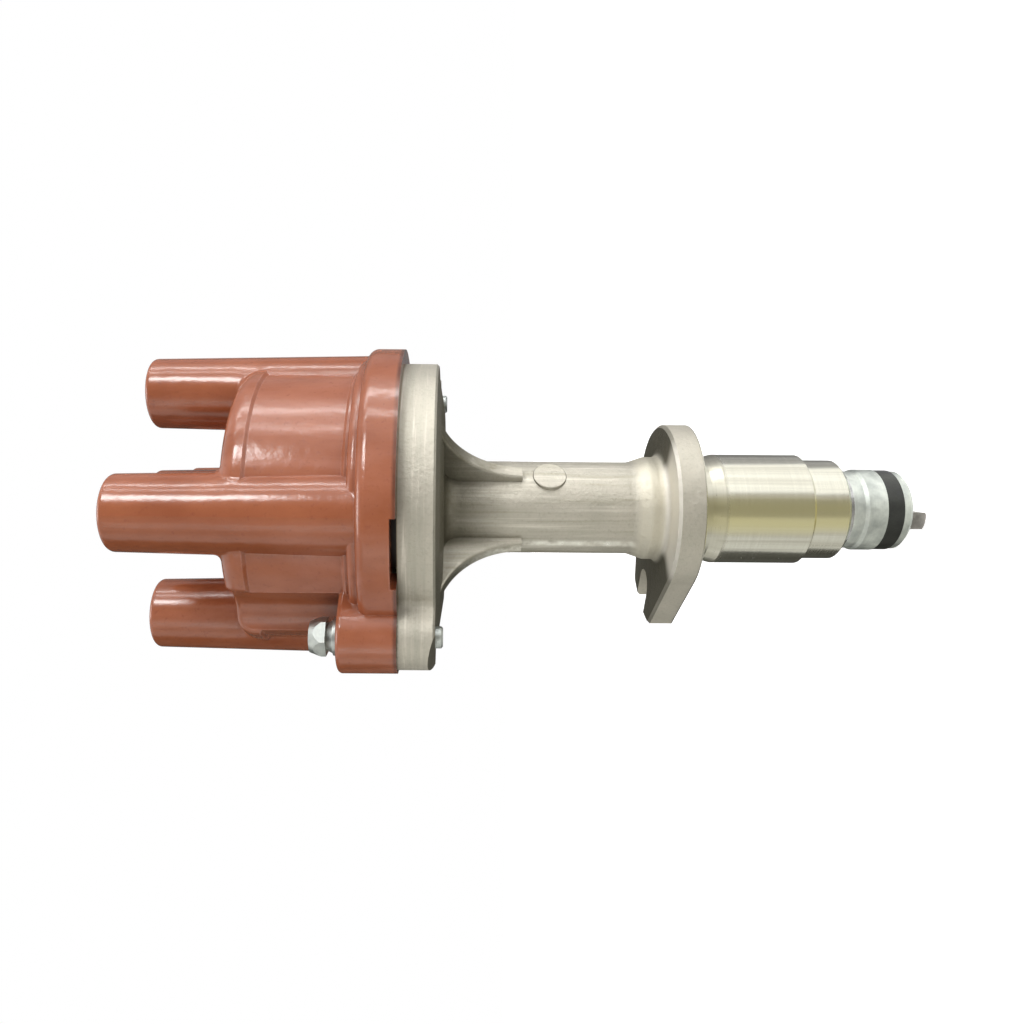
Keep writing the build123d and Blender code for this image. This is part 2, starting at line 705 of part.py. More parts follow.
def head_recess():
    """Recess in the head for the pin of a lead."""
    return bar(TERMINAL_RECESS_RADIUS, socket_floor - TERMINAL_RECESS_DEPTH, socket_floor)


def outer_insert(angle):
    """Solid form of an outer insert: head, post and the segment the spark jumps to."""
    post = bar(TERMINAL_POST_RADIUS, segment_bottom, socket_floor - TERMINAL_HEAD_LENGTH)
    form = at_polar(tower_circle, angle) * (insert_head() + post)
    half_arc = SEGMENT_ARC / 2
    form += sector(segment_radius, segment_radius + SEGMENT_THICKNESS, angle - half_arc,
                   angle + half_arc, segment_bottom, segment_bottom + SEGMENT_HEIGHT)
    return form - bar(segment_radius, segment_bottom, segment_bottom + SEGMENT_HEIGHT)


def outer_terminal(angle):
    """Insert of an outer tower, with its recess."""
    return outer_insert(angle) - at_polar(tower_circle, angle) * head_recess()


def centre_insert():
    """Solid form of the coil tower's insert: head and brush guide."""
    return insert_head() + bar(guide_radius, guide_bottom, socket_floor - TERMINAL_HEAD_LENGTH)


def centre_terminal():
    """Insert of the coil tower, bored from below for the brush and its spring."""
    return centre_insert() - head_recess() - bar(guide_bore, guide_bottom, spring_top)


def carbon_brush():
    """Round carbon rod with a small chamfer at each end."""
    return turned([
        (0, brush_bottom),
        (BRUSH_RADIUS - BRUSH_CHAMFER, brush_bottom),
        (BRUSH_RADIUS, brush_bottom + BRUSH_CHAMFER),
        (BRUSH_RADIUS, brush_top - BRUSH_CHAMFER),
        (BRUSH_RADIUS - BRUSH_CHAMFER, brush_top),
        (0, brush_top),
    ])


def brush_spring():
    """Helical spring that presses the brush on the rotor."""
    start = brush_top + SPRING_WIRE_RADIUS
    height = spring_top - SPRING_WIRE_RADIUS - start
    coil_radius = guide_bore - SPRING_SLACK - SPRING_WIRE_RADIUS
    path = Helix(SPRING_PITCH, height, coil_radius, center=(0, 0, start))
    section = Plane(origin=path @ 0, z_dir=path % 0) * Circle(SPRING_WIRE_RADIUS)
    return sweep(section, path=path, is_frenet=True)


# ---------------------------------------------------------------------------
# Rotating side
# ---------------------------------------------------------------------------
def pin_hole(radius, reach):
    """Cross bar along X at the height of the coupling pin."""
    return Pos(0, 0, pin_z) * Rot(0, 90, 0) * Cylinder(radius, 2 * reach)


def drive_shaft():
    """Steel shaft: bearing length, circlip groove and the flatted spigot for the rotor."""
    body = turned([
        (0, shaft_bottom),
        (SHAFT_RADIUS - EDGE_BREAK, shaft_bottom),
        (SHAFT_RADIUS, shaft_bottom + EDGE_BREAK),
        (SHAFT_RADIUS, upper_washer_top),
        (SHAFT_RADIUS - CIRCLIP_DEPTH, upper_washer_top),
        (SHAFT_RADIUS - CIRCLIP_DEPTH, circlip_top),
        (SHAFT_RADIUS, circlip_top),
        (SHAFT_RADIUS, rotor_seat),
        (spigot_radius, rotor_seat),
        (spigot_radius, spigot_top - EDGE_BREAK),
        (spigot_radius - EDGE_BREAK, spigot_top),
        (0, spigot_top),
    ])
    body -= Rot(0, 0, ROTOR_ANGLE) * spigot_flat(flat_reach)
    return body - pin_hole(PIN_RADIUS, COUPLING_RADIUS)


def spigot_flat(distance):
    """Block that cuts the driving flat on the rotor's spigot, on the arm's side."""
    block = Box(spigot_radius, 4 * spigot_radius, spigot_top - rotor_seat + 1,
                align=(Align.MIN, Align.CENTER, Align.MIN))
    return Pos(distance, 0, rotor_seat) * block


def thrust_washer(outer, low, high):
    """Flat ring that runs on the shaft."""
    return tube(outer, shaft_bore, low, high)


def shaft_circlip():
    """Open ring in the shaft's groove, over the upper thrust washer."""
    groove = SHAFT_RADIUS - CIRCLIP_DEPTH
    low = upper_washer_top
    high = circlip_top - CIRCLIP_CLEARANCE
    ring = tube(groove + CIRCLIP_WIDTH, groove, low, high)
    half_gap = CIRCLIP_GAP_ANGLE / 2
    return ring - sector(groove - 1, groove + 2 * CIRCLIP_WIDTH, -half_gap, half_gap, low, high)


def drive_coupling():
    """Plated sleeve with a band groove and an offset tang across its end."""
    body = turned([
        (shaft_bore, coupling_top),
        (coupling_neck_radius, coupling_top),
        (coupling_neck_radius, slope_top),
        (COUPLING_RADIUS, land_start),
        (COUPLING_RADIUS, band_top),
        (groove_radius, band_top),
        (groove_radius, band_bottom),
        (coupling_end_radius, band_bottom),
        (coupling_end_radius, coupling_end + COUPLING_CHAMFER),
        (coupling_end_radius - COUPLING_CHAMFER, coupling_end),
        (0, coupling_end),
        (0, socket_end),
        (shaft_bore, socket_end),
    ])
    tang_reach = coupling_end_radius - COUPLING_CHAMFER - TANG_MARGIN
    blade = Box(TANG_THICKNESS, 2 * tang_reach, TANG_LENGTH,
                align=(Align.CENTER, Align.CENTER, Align.MAX))
    blade = Pos(-TANG_OFFSET, 0, coupling_end) * blade
    blade &= bar(tang_reach, coupling_end - TANG_LENGTH, coupling_end)
    blade = chamfer(blade.edges().group_by(Axis.Z)[0], TANG_EDGE)
    return body + blade - pin_hole(PIN_RADIUS, COUPLING_RADIUS)


def coupling_pin():
    """Cross pin through coupling and shaft, its ends just inside the band."""
    reach = sqrt(groove_radius**2 - PIN_RADIUS**2) - LOCATING_CLEARANCE
    return pin_hole(PIN_RADIUS, reach)


def pin_retaining_ring():
    """Black open spring band in the coupling's groove."""
    outer = groove_radius + BAND_THICKNESS
    ring = tube(outer, groove_radius, band_bottom + LOCATING_CLEARANCE / 2,
                band_top - LOCATING_CLEARANCE / 2)
    rims = ring.edges().filter_by(GeomType.CIRCLE).group_by(SortBy.RADIUS)[-1]
    start = BAND_GAP_PLACE - BAND_GAP_ANGLE / 2
    end = BAND_GAP_PLACE + BAND_GAP_ANGLE / 2
    gap = sector(groove_radius - 1, outer + 1, start, end, band_bottom, band_top)
    return fillet(rims, BAND_EDGE) - gap


def electrode():
    """Flat brass electrode along +X, with its tip on the spark circle."""
    length = electrode_tip - electrode_start
    plan = Pos(electrode_start + length / 2, 0) * Rectangle(length, ELECTRODE_WIDTH)
    plan &= Circle(electrode_tip)
    return prism(plan, electrode_bottom, rotor_top)


def resistor():
    """Suppression resistor moulded into the arm, under contact and electrode."""
    start = CONTACT_RADIUS - RESISTOR_LAP
    end = electrode_start + RESISTOR_LAP
    block = Box(end - start, RESISTOR_WIDTH, RESISTOR_WIDTH,
                align=(Align.MIN, Align.CENTER, Align.MAX))
    return Pos(start, 0, electrode_bottom) * block


def rotor_contact():
    """Round contact under the brush."""
    return bar(CONTACT_RADIUS, electrode_bottom, contact_top)


def rotor_arm():
    """Rotor moulding along +X: hub with a keyed bore, arm and balance lobe."""
    plan = Circle(ROTOR_PLATE_RADIUS)
    plan += Pos(arm_reach / 2, 0) * Rectangle(arm_reach, ROTOR_ARM_WIDTH)
    plan += Pos(-ROTOR_LOBE_REACH / 2, 0) * Rectangle(ROTOR_LOBE_REACH, ROTOR_LOBE_WIDTH)
    ends = plan.vertices().sort_by(Axis.X)
    plan = fillet(ends[:2] + ends[-2:], ROTOR_CORNER)
    body = prism(plan, rotor_plate_bottom, rotor_top)
    body += bar(ROTOR_HUB_RADIUS, rotor_skirt_bottom, rotor_plate_bottom)
    body -= bar(ROTOR_HUB_RADIUS - ROTOR_SKIRT_WALL, rotor_skirt_bottom, rotor_seat)
    key = bar(spigot_radius + RUNNING_CLEARANCE, rotor_seat, spigot_top + LOCATING_CLEARANCE)
    key -= spigot_flat(flat_reach + RUNNING_CLEARANCE)
    body -= key
    return body - electrode() - resistor() - rotor_contact()


def turned_to_rotor(solid):
    """Turns a piece made along +X to the rotor's rest angle."""
    return Rot(0, 0, ROTOR_ANGLE) * solid


# ---------------------------------------------------------------------------
# Nodes
# ---------------------------------------------------------------------------
def all_nodes():
    """Every piece by its node name."""
    washer = tube(SCREW_WASHER_RADIUS, SCREW_RADIUS + LOCATING_CLEARANCE, cap_ear_top,
                  screw_washer_top)
    nodes = {
        "housing_casting": housing_casting(),
        "distributor_cap": distributor_cap(),
        "centre_terminal": centre_terminal(),
        "brush_spring": brush_spring(),
        "carbon_brush": carbon_brush(),
        "cap_screws": Compound(around(EAR_ANGLES, ear_circle, cap_screw())),
        "screw_washers": Compound(around(EAR_ANGLES, ear_circle, washer)),
        "dust_shield": dust_shield(),
        "upper_bush": bush(upper_bush_bottom, upper_bush_top),
        "lower_bush": bush(lower_bush_bottom, lower_bush_top),
        "shaft_seal": shaft_seal(),
        "drive_shaft": drive_shaft(),
        "upper_thrust_washer": thrust_washer(SHAFT_RADIUS + WASHER_WIDTH, upper_washer_bottom,
                                             upper_washer_top),
        "shaft_circlip": shaft_circlip(),
        "lower_thrust_washer": thrust_washer(coupling_neck_radius, shim_top, lower_washer_top),
        "end_float_shim": thrust_washer(coupling_neck_radius, coupling_top, shim_top),
        "drive_coupling": drive_coupling(),
        "coupling_pin": coupling_pin(),
        "pin_retaining_ring": pin_retaining_ring(),
        "rotor_arm": turned_to_rotor(rotor_arm()),
        "rotor_electrode": turned_to_rotor(electrode()),
        "rotor_contact": turned_to_rotor(rotor_contact()),
        "rotor_resistor": turned_to_rotor(resistor()),
    }
    for number, angle in enumerate(TOWER_ANGLES, start=1):
        nodes[f"outer_terminal_{number}"] = outer_terminal(angle)
    return nodes


os.makedirs("parts", exist_ok=True)
for name, shape in all_nodes().items():
    export_step(shape, f"parts/{name}.step")
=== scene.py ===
import json
from math import cos, pi, radians, sin

import bpy
from mathutils import Matrix, Vector


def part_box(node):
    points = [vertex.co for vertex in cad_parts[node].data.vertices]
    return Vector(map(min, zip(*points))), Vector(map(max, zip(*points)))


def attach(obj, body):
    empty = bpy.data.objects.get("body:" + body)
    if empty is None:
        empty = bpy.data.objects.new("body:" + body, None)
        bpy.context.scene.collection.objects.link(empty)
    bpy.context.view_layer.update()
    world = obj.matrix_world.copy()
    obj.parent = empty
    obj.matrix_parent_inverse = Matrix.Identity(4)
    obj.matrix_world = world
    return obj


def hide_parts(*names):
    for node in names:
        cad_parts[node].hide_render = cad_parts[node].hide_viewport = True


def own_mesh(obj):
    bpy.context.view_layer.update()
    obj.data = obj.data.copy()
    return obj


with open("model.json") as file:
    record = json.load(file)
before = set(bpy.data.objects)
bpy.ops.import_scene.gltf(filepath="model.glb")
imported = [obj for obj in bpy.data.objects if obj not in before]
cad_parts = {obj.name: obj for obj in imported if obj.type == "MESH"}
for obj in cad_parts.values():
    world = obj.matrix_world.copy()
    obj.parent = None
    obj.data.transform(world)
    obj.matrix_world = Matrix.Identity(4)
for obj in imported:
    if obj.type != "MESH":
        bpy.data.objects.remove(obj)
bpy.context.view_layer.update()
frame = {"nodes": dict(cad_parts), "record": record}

# Metres, with the shaft axis on Z. Angles round the shaft are in degrees, from the viewer's
# side (-Y) towards +X, which is up in the picture.
nodes = frame["nodes"]

# ---------------------------------------------------------------------------
# Camera, floor and background
# ---------------------------------------------------------------------------
CAMERA_DISTANCE = 0.208
CAMERA_TURN = radians(4.0)
CAMERA_HEIGHT = 0.059
CAMERA_ROLL = radians(0.45)
CAMERA_LENS = 28.125            # millimetres, on a sensor 36 mm wide
CAMERA_SHIFT = (0.0557, -0.0054)
FLOOR_Z = -0.0602
FLOOR_HALF = 1.5
FLOOR_LIFT = 0.75               # emission that lifts the paper to the backdrop's white
WORLD_LIGHT = 0.4

# ---------------------------------------------------------------------------
# Studio cards and lamps
# ---------------------------------------------------------------------------
CARD_FOOT = FLOOR_Z + 0.0002
CARD_STEPS = 12
# Name, start and end angle, near and far reach, top of the far end or None, tone
CARDS = (
    ("card_viewer", -13, 24, 0.04, 0.6, 0.8, (0.38, 0.37, 0.34)),
    ("card_viewer_edge", 24, 36, 0.04, 0.6, 0.8, (0.62, 0.6, 0.56)),
    ("card_left", -55, -13, 0.04, 0.6, 0.8, (0.68, 0.67, 0.62)),
    ("card_low", -92, -55, 0.04, 0.3, None, (0.82, 0.82, 0.79)),
    ("card_low_far", -126, -55, 0.3, 0.6, 0.8, (0.96, 0.96, 0.92)),
    ("card_dark", -188, -92, 0.012, 0.3, None, (0.06, 0.06, 0.05)),
    ("card_dark_far", -188, -126, 0.3, 0.6, 0.8, (0.06, 0.06, 0.05)),
    ("card_sheen", 106, 138, 0.012, 0.6, 0.8, (0.5, 0.5, 0.52)),
    ("card_behind", 138, 172, 0.012, 0.6, 0.8, (0.24, 0.24, 0.24)),
    # The three rings next to the shaft stand for the object's shadow on the floor as the gloss
    # sees it: painted shadow.
    ("shadow_ring_viewer", -24, 24, 0.012, 0.04, None, (0.85, 0.85, 0.8)),
    ("shadow_ring_left", -45, -20, 0.012, 0.04, None, (0.45, 0.45, 0.42)),
    ("shadow_ring_low", -92, -45, 0.012, 0.04, None, (0.2, 0.2, 0.18)),
)
SHADE_ANGLES = (-165, -75)
SHADE_REACH = 0.3
SHADE_TONE = (0.06, 0.06, 0.05)
# Name, foot, top, whether the gloss sees it
SHADES = (
    ("card_shade_low", CARD_FOOT, 0.085, False),
    ("card_shade_high", 0.085, 0.4, True),
)
LAMP_AIM = Vector((0, 0, 0.04))
# Name, angle, distance, height, size round and along the shaft, watts, whether the gloss sees it
LAMPS = (
    ("tube_high", 88, 0.8, 0.12, (0.032, 1.1), 2.2, True),
    ("tube_low", 70, 0.8, 0.12, (0.024, 1.1), 1.35, True),
    ("sky", 75, 0.95, 0.1, (0.9, 0.8), 1.2, True),
    ("window", 46, 0.75, 0.41, (0.15, 0.23), 1.95, True),
    ("top", 0, 0.15, 0.95, (0.35, 0.25), 1.5, True),
    ("fill", -31, 0.8, 0.32, (0.04, 0.5), 1.0, True),
    ("back", 170, 0.9, 0.3, (0.7, 0.7), 2.4, False),
)

# ---------------------------------------------------------------------------
# Places on the pieces: heights along the shaft, and radii
# ---------------------------------------------------------------------------
CAP_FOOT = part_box("distributor_cap")[0][2]
TANG_LENGTH = 0.0041
TANG_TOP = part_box("drive_coupling")[0][2] + TANG_LENGTH

RIM = (0.0652, 0.0742)          # rim of the plate
RIM_INNER = 0.033
JOINT_LINE = (0.0714, 0.0732)   # between the plate and the cap
ROOT_SHADE = (0.045, 0.06)      # neck's end under the plate
ROOT_SHADE_RADIUS = 0.030
ROOT_SHADE_EDGE = -0.0094       # along X
NECK = (0.0145, 0.062)
HUB = (0.0072, 0.0136)
HUB_EDGE = 0.0172
FLANGE_FACE = (0.0045, 0.0136)
# Heights of the painted shade on faces that look along the shaft
AXIS_SHADE_SPAN = (0.0045, 0.0668)
SEAT = (-0.0004, 0.0002)
UNDERCUT = (-0.0076, -0.0001)
SHANK = (-0.0386, -0.0001)
BORE_EDGE = 0.0100
PARTING_NORMAL = (0.69, -0.72)  # X and Y parts of the die's parting plane

WIRE_RADIUS = 0.00028
SPRING_PITCH = 0.00098
COIL_STEPS = 32                 # rings of vertices in a turn
WIRE_SIDES = 10


def make_camera():
    data = bpy.data.cameras.new("camera")
    data.lens = CAMERA_LENS
    data.sensor_width = 36
    data.shift_x, data.shift_y = CAMERA_SHIFT
    data.clip_start = 0.01
    camera = bpy.data.objects.new("camera", data)
    bpy.context.scene.collection.objects.link(camera)
    back = Vector((sin(CAMERA_TURN), -cos(CAMERA_TURN), 0))
    level = Vector((0, 0, -1))
    rise = back.cross(level)
    right = level * cos(CAMERA_ROLL) + rise * sin(CAMERA_ROLL)
    up = rise * cos(CAMERA_ROLL) - level * sin(CAMERA_ROLL)
    place = back * CAMERA_DISTANCE + Vector((0, 0, CAMERA_HEIGHT))
    turned = Matrix((right, up, back)).transposed().to_4x4()
    camera.matrix_world = Matrix.Translation(place) @ turned
    bpy.context.scene.camera = camera


# ---------------------------------------------------------------------------
# Node helpers
# ---------------------------------------------------------------------------
class Shader:
    """A material being built, with short calls for the nodes it uses."""

    def __init__(self, name):
        self.material = bpy.data.materials.new(name)
        self.material.use_nodes = True
        self.tree = self.material.node_tree
        self.bsdf = self.tree.nodes["Principled BSDF"]
        self.place = self.new("ShaderNodeTexCoord").outputs["Object"]
        self.relief = None

    def new(self, kind, **settings):
        node = self.tree.nodes.new(kind)
        for name, value in settings.items():
            setattr(node, name, value)
        return node

    def put(self, socket, value):
        """Links an output to a socket, or sets the socket to a plain value."""
        if isinstance(value, bpy.types.NodeSocket):
            self.tree.links.new(value, socket)
        else:
            socket.default_value = value

    def stretched(self, x=1.0, y=1.0, z=1.0):
        node = self.new("ShaderNodeMapping")
        node.inputs["Scale"].default_value = (x, y, z)
        self.put(node.inputs["Vector"], self.place)
        return node.outputs["Vector"]

    def noise(self, scale, detail=4.0, roughness=0.5, vector=None, distortion=0.0):
        node = self.new("ShaderNodeTexNoise")
        self.put(node.inputs["Vector"], vector or self.place)
        node.inputs["Scale"].default_value = scale
        node.inputs["Detail"].default_value = detail
        node.inputs["Roughness"].default_value = roughness
        node.inputs["Distortion"].default_value = distortion
        return node.outputs["Fac"]

    def cells(self, scale):
        node = self.new("ShaderNodeTexVoronoi")
        self.put(node.inputs["Vector"], self.place)
        node.inputs["Scale"].default_value = scale
        return node.outputs["Distance"]

    def span(self, value, low, high, to_low=0.0, to_high=1.0, smooth=False):
        """Maps a range of values on another, and clamps what lies outside it."""
        node = self.new("ShaderNodeMapRange")
        node.interpolation_type = "SMOOTHSTEP" if smooth else "LINEAR"
        self.put(node.inputs["Value"], value)
        self.put(node.inputs["From Min"], low)
        self.put(node.inputs["From Max"], high)
        self.put(node.inputs["To Min"], to_low)
        self.put(node.inputs["To Max"], to_high)
        return node.outputs["Result"]

    def math(self, operation, *values):
        node = self.new("ShaderNodeMath", operation=operation)
        for socket, value in zip(node.inputs, values):
            self.put(socket, value)
        return node.outputs["Value"]

    def plus(self, a, b):
        return self.math("ADD", a, b)

    def times(self, a, b):
        return self.math("MULTIPLY", a, b)

    def beside(self, share):
        """What is left of 1."""
        return self.math("SUBTRACT", 1.0, share)

    def larger(self, a, b):
        return self.math("MAXIMUM", a, b)

    def mix(self, factor, a, b):
        node = self.new("ShaderNodeMix", data_type="RGBA")
        self.put(node.inputs[0], factor)
        for socket, value in ((node.inputs[6], a), (node.inputs[7], b)):
            self.put(socket, value + (1,) if isinstance(value, tuple) else value)
        return node.outputs[2]

    def streaked(self, base, pattern, dark, light, zone=1.0):
        """Streaks of a drawn-out pattern: each kind is the range that it spans and its tone."""
        for (low, high, to_low, to_high), tone in (dark, light):
            share = self.span(pattern, low, high, to_low, to_high)
            base = self.mix(self.times(zone, share), base, srgb(*tone))
        return base

    def axis_part(self, axis):
        node = self.new("ShaderNodeSeparateXYZ")
        self.put(node.inputs[0], self.place)
        return node.outputs[axis]

    def radius(self):
        """Distance from the shaft axis."""
        x, y = self.axis_part("X"), self.axis_part("Y")
        return self.math("SQRT", self.plus(self.times(x, x), self.times(y, y)))

    def slab(self, low, high, soft):
        """1 between two heights, 0 outside them."""
        z = self.axis_part("Z")
        rise = self.span(z, low - soft, low + soft)
        fall = self.span(z, high - soft, high + soft, 1.0, 0.0)
        return self.times(rise, fall)

    def facing(self, axis, low, high):
        """1 where the surface faces along an axis, either way."""
        node = self.new("ShaderNodeSeparateXYZ")
        self.put(node.inputs[0], self.new("ShaderNodeNewGeometry").outputs["Normal"])
        return self.span(self.math("ABSOLUTE", node.outputs[axis]), low, high)

    def towards(self, angle, low, high):
        """1 on the side that looks at an angle round the shaft, 0 away from it."""
        across = self.times(self.axis_part("X"), sin(radians(angle)))
        along = self.times(self.axis_part("Y"), -cos(radians(angle)))
        share = self.math("DIVIDE", self.plus(across, along), self.radius())
        return self.span(share, cos(radians(high)), cos(radians(low)), smooth=True)

    def corners(self, reach):
        """1 deep in corners, 0 on open faces."""
        node = self.new("ShaderNodeAmbientOcclusion", samples=6)
        node.inputs["Distance"].default_value = reach
        return self.span(node.outputs["AO"], 0.35, 0.85, 1.0, 0.0)

    def edge_wear(self, width):
        """1 on sharp outer edges and 0 on the faces, from a bevelled normal."""
        bevel = self.new("ShaderNodeBevel", samples=4)
        bevel.inputs["Radius"].default_value = width
        dot = self.new("ShaderNodeVectorMath", operation="DOT_PRODUCT")
        self.put(dot.inputs[0], bevel.outputs["Normal"])
        self.put(dot.inputs[1], self.new("ShaderNodeNewGeometry").outputs["Normal"])
        return self.span(dot.outputs["Value"], 0.999, 0.9)

    def bump(self, height, distance):
        """Adds a relief on the ones before it."""
        node = self.new("ShaderNodeBump")
        node.inputs["Strength"].default_value = 1
        node.inputs["Distance"].default_value = distance
        self.put(node.inputs["Height"], height)
        if self.relief:
            self.put(node.inputs["Normal"], self.relief)
        self.relief = node.outputs["Normal"]

    def finish(self, colour, roughness, **values):
        self.put(self.bsdf.inputs["Base Color"], colour)
        self.put(self.bsdf.inputs["Roughness"], roughness)
        for name, value in values.items():
            self.put(self.bsdf.inputs[name], value)
        if self.relief:
            self.put(self.bsdf.inputs["Normal"], self.relief)
        return self.material


def srgb(red, green, blue):
    """Linear colour from 0-255 screen values."""
    def linear(value):
        value /= 255
        return value / 12.92 if value <= 0.04045 else ((value + 0.055) / 1.055) ** 2.4
    return (linear(red), linear(green), linear(blue))


# ---------------------------------------------------------------------------
# Materials
# ---------------------------------------------------------------------------
def cap_moulding():
    """Glossy red-brown thermoset: mottled resin, faint flow lines, rubbed edges, painted shade
    in the corners, dirty foot.
    """
    s = Shader("cap_moulding")
    mottle = s.noise(90, 6, 0.6)
    flow = s.noise(60, 5, 0.55, s.stretched(1, 1, 0.25), 1.2)
    grain = s.noise(900, 3, 0.6)
    colour = s.mix(s.span(mottle, 0.3, 0.7), srgb(148, 79, 47), srgb(163, 92, 58))
    colour = s.mix(s.span(flow, 0.45, 0.75, 0, 0.5), colour, srgb(184, 118, 94))
    colour = s.mix(s.span(grain, 0.58, 0.75, 0, 0.45), colour, srgb(124, 62, 44))
    wear = s.times(s.edge_wear(0.0006), s.span(s.noise(260, 4), 0.35, 0.6))
    colour = s.mix(s.times(wear, 0.45), colour, srgb(206, 150, 128))
    # Painted shade: corners and junctions are darkened towards a deep brown.
    colour = s.mix(s.times(s.corners(0.006), 0.55), colour, srgb(92, 46, 32))
    foot = s.span(s.axis_part("Z"), CAP_FOOT + 0.0004, CAP_FOOT + 0.0011, 1, 0)
    foot = s.times(foot, s.span(s.noise(140, 4), 0.3, 0.6, 0.5, 0.85))
    colour = s.mix(foot, colour, srgb(82, 42, 28))
    roughness = s.plus(s.span(flow, 0.3, 0.7, 0.15, 0.22), s.span(grain, 0.5, 0.8, 0, 0.06))
    s.bump(s.noise(420, 3, 0.5), 0.00006)
    s.bump(s.noise(40, 4, 0.5, s.stretched(1, 1, 0.5)), 0.0005)
    return s.finish(colour, roughness, IOR=1.6)


def cast_surface(s, radius, grain, blotch):
    """Colour of the cast faces, with painted light and shade on some of them, the share of the
    parting line, and the neck's drawn relief.
    """
    cast = s.mix(s.span(blotch, 0.3, 0.72), srgb(184, 180, 167), srgb(199, 194, 182))
    cast = s.mix(s.span(grain, 0.55, 0.8, 0, 0.35), cast, srgb(150, 147, 136))

    neck = s.slab(*NECK, 0.002)
    # Long light and dark streaks on the neck: partly drawn marks, partly painted reflection
    # streaks. The same pattern is also the neck's relief.
    drawn = s.noise(420, 4, 0.62, s.stretched(1, 1, 0.035), 0.3)
    cast = s.streaked(cast, drawn, ((0.5, 0.68, 0, 0.55), (152, 148, 126)),
                      ((0.32, 0.46, 0.6, 0), (232, 228, 216)), neck)
    swept = s.noise(30, 4, 0.65, s.stretched(1, 1, 26), 0.2)
    rim = s.times(s.slab(*RIM, 0.0002), s.span(radius, RIM_INNER, RIM_INNER + 0.001))
    cast = s.streaked(cast, swept, ((0.42, 0.7, 0, 0.5), (164, 162, 150)),
                      ((0.3, 0.42, 0.5, 0), (236, 232, 222)), rim)

    off = s.plus(s.times(s.axis_part("X"), PARTING_NORMAL[0]),
                 s.times(s.axis_part("Y"), PARTING_NORMAL[1]))
    parting = s.times(neck, s.span(s.math("ABSOLUTE", off), 0.0003, 0.0015, 1, 0))
    parting = s.times(parting, s.span(s.noise(260, 3), 0.35, 0.55))
    # The parting line is painted near white: partly its smoother trimmed face, partly a painted
    # highlight.
    cast = s.mix(s.times(parting, 0.8), cast, srgb(240, 238, 226))

    hub = s.times(s.slab(*HUB, 0.0008), s.span(radius, HUB_EDGE, HUB_EDGE + 0.0004, 1, 0))
    cast = s.mix(s.times(hub, 0.8), cast, srgb(208, 203, 187))
    # Painted light: the flange face and hub on the side towards the viewer are painted pale.
    painted_lit_side = s.times(s.towards(0, 40, 58), s.slab(*FLANGE_FACE, 0.0005))
    # Painted shade: faces that look along the shaft are darkened, except on the painted lit
    # side.
    painted_axis_shade = s.times(s.facing("Z", 0.55, 0.92), s.slab(*AXIS_SHADE_SPAN, 0.0005))
    cast = s.mix(s.times(s.times(painted_axis_shade, s.beside(painted_lit_side)), 0.85), cast, srgb(104, 101, 88))
    cast = s.mix(s.times(painted_lit_side, s.facing("Z", 0.3, 0.8)), cast, srgb(240, 236, 226))
    # Painted shade in the corners, weaker on the painted lit side.
    corner_shade = s.times(s.corners(0.009), s.span(painted_lit_side, 0, 1, 0.42, 0.08))
    cast = s.mix(corner_shade, cast, srgb(92, 88, 74))

    shade = s.times(s.span(s.axis_part("Z"), *ROOT_SHADE, 0, 0.75),
                    s.span(radius, ROOT_SHADE_RADIUS, ROOT_SHADE_RADIUS - 0.003))
    shade = s.times(shade, s.span(s.axis_part("X"), ROOT_SHADE_EDGE, ROOT_SHADE_EDGE + 0.0012))
    cast = s.mix(shade, cast, srgb(96, 92, 76))
    joint = s.times(s.slab(*JOINT_LINE, 0.0001), s.span(s.noise(90, 4), 0.3, 0.6, 0.45, 0.8))
    return s.mix(joint, cast, srgb(128, 116, 96)), parting, s.times(drawn, neck)


def turned_surface(s, rings, streak, undercut):
    """Colour of the machined faces: turning lines, long rubbed streaks, a yellowish band on the
    side towards the viewer, painted shade in the undercut.
    """
    turned = s.mix(s.span(rings, 0.3, 0.7), srgb(198, 196, 182), srgb(212, 210, 196))
    turned = s.streaked(turned, streak, ((0.5, 0.66, 0, 0.45), (158, 153, 136)),
                        ((0.34, 0.46, 0.45, 0), (232, 230, 220)))
    # A yellowish band on the side towards the viewer.
    yellow_band = s.noise(70, 4, 0.6, s.stretched(1, 1, 0.1), 0.4)
    side = s.times(s.towards(-3, 7, 24), s.span(yellow_band, 0.3, 0.6, 0.75, 1))
    turned = s.mix(side, turned, srgb(218, 211, 164))
    # Painted shade: the undercut under the flange is darkened.
    return s.mix(s.times(undercut, 0.35), turned, srgb(146, 141, 124))


